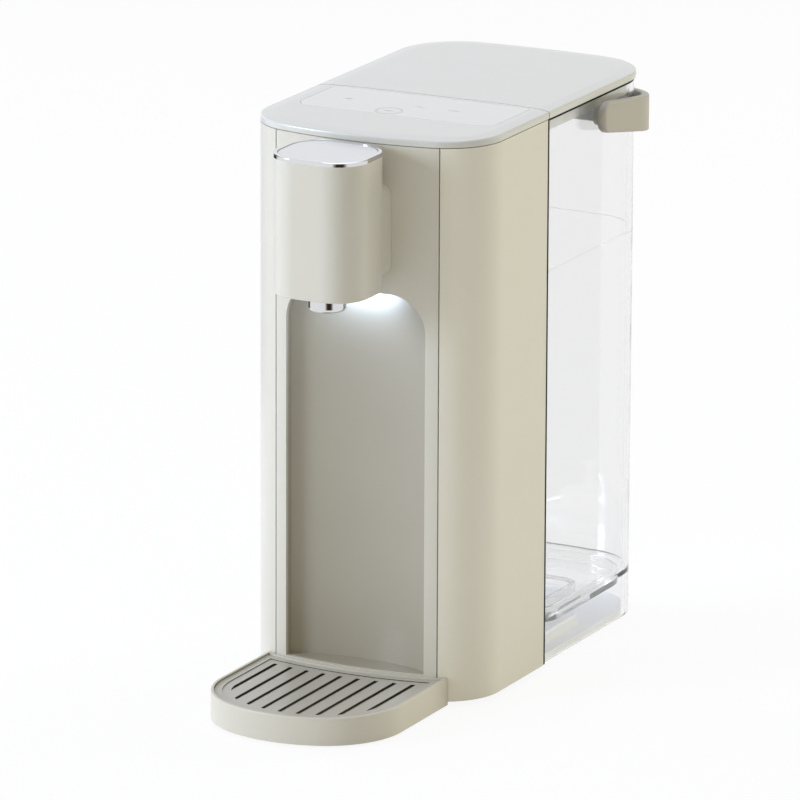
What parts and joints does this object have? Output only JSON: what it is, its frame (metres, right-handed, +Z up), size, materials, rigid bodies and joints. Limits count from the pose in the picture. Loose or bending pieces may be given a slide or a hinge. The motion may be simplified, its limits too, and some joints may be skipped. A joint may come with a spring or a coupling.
{
  "type": "hot water dispenser",
  "caption": "Countertop instant hot water dispenser: slim column with a lit niche, square spout, slotted drip tray and a lift-off clear tank with a swing handle behind the body.",
  "frame": {"origin": "on the table, under the middle of the machine's bounding box", "axes": "+Z up, -Y towards the spout and drip tray, +X to the right of someone facing the spout"},
  "size_m": [0.149, 0.3214, 0.3],
  "materials": {
    "shell_paint": "smooth satin moulding in warm off-white",
    "front_plastic": "satin moulding in warm off-white",
    "grate_plastic": "fine satin plastic in warm light grey",
    "pearl_plastic": "pearly glossy white",
    "window_glass": "clear-coated gloss panel",
    "chrome_trim": "bright plated plastic",
    "tank_plastic": "clear moulded plastic, faintly blue-grey",
    "handle_plastic": "satin greige plastic",
    "base_plastic": "light grey structural plastic",
    "bulkhead_plastic": "near-black structural plastic",
    "white_plastic": "plain white engineering plastic",
    "heat_plastic": "black heat-proof plastic",
    "silicone": "translucent white silicone",
    "black_rubber": "black rubber",
    "foam": "black conductive foam",
    "steel": "stainless steel, drawn finish",
    "brass": "plain turned brass",
    "board": "green lacquered circuit board",
    "components": "black moulded component cases",
    "lamp": "frosted clear lens"
  },
  "bodies": {
    "base": {"right_side_panel": "shell_paint", "left_side_panel": "shell_paint", "top_cover": "shell_paint", "front_panel": "front_plastic", "spout_head": "front_plastic", "spout_neck": "front_plastic", "splash_back": "front_plastic", "spout_cap": "pearl_plastic", "touch_window": "window_glass", "spout_ring": "chrome_trim", "nozzle": "chrome_trim", "base_pan": "base_plastic", "bottom_cover": "base_plastic", "dock_socket": "base_plastic", "rear_bulkhead": "bulkhead_plastic", "flow_meter": "white_plastic", "outlet_chamber": "white_plastic", "nozzle_nut": "white_plastic", "heater_inlet_cap": "heat_plastic", "heater_outlet_cap": "heat_plastic", "pump_housing": "heat_plastic", "terminal_block": "heat_plastic", "thermal_cutout": "heat_plastic", "nozzle_insert": "silicone", "dock_hose": "silicone", "pump_hose": "silicone", "heater_hose": "silicone", "outlet_hose": "silicone", "rubber_feet": "black_rubber", "dock_seal": "black_rubber", "pump_damper": "black_rubber", "cord_gland": "black_rubber", "touch_pads": "foam", "heater_tube": "steel", "heater_bands": "steel", "pump_motor": "steel", "machine_screws": "steel", "temperature_sensor": "brass", "control_board": "board", "power_board": "board", "lamp_board": "board", "board_components": "components", "lamp_lens": "lamp"},
    "tank": {"tank_body": "tank_plastic", "handle_bosses": "handle_plastic", "valve_housing": "white_plastic", "valve_cage": "white_plastic", "inlet_filter": "white_plastic", "float_guide": "white_plastic", "valve_spring": "steel"},
    "lid": {"tank_lid": "shell_paint", "lid_gasket": "black_rubber"},
    "handle": {"tank_handle": "handle_plastic"},
    "tray": {"drip_tray": "shell_paint"},
    "grate": {"drip_grate": "grate_plastic"},
    "poppet": {"valve_poppet": "white_plastic", "poppet_seal": "black_rubber"},
    "float": {"level_float": "white_plastic"},
    "pump_rotor": {"pump_impeller": "heat_plastic"}
  },
  "joints": [
    {"name": "tank_lift", "type": "slide", "parent": "base", "child": "tank", "axis": [0, 0, 1], "range_m": [0, 0.06]},
    {"name": "lid_lift", "type": "slide", "parent": "tank", "child": "lid", "axis": [0, 0, 1], "range_m": [0, 0.028]},
    {"name": "handle_swing", "type": "hinge", "parent": "tank", "child": "handle", "pos_m": [0, 0.0797, 0.2852], "axis": [1, 0, 0], "range_deg": [0, 99]},
    {"name": "tray_slide", "type": "slide", "parent": "base", "child": "tray", "axis": [0, -1, 0], "range_m": [0, 0.09]},
    {"name": "grate_lift", "type": "slide", "parent": "tray", "child": "grate", "axis": [0, 0, 1], "range_m": [0, 0.025]},
    {"name": "valve_press", "type": "slide", "parent": "tank", "child": "poppet", "axis": [0, 0, 1], "range_m": [0, 0.0015], "stiffness_N_per_m": 150, "springref_m": -0.003, "deforming": ["valve_spring"]},
    {"name": "float_rise", "type": "slide", "parent": "tank", "child": "float", "axis": [0, 0, 1], "range_m": [0, 0.014]},
    {"name": "pump_spin", "type": "hinge", "parent": "base", "child": "pump_rotor", "pos_m": [0.028, -0.0068, 0.02], "axis": [0, 0, 1], "continuous": true}
  ]
}
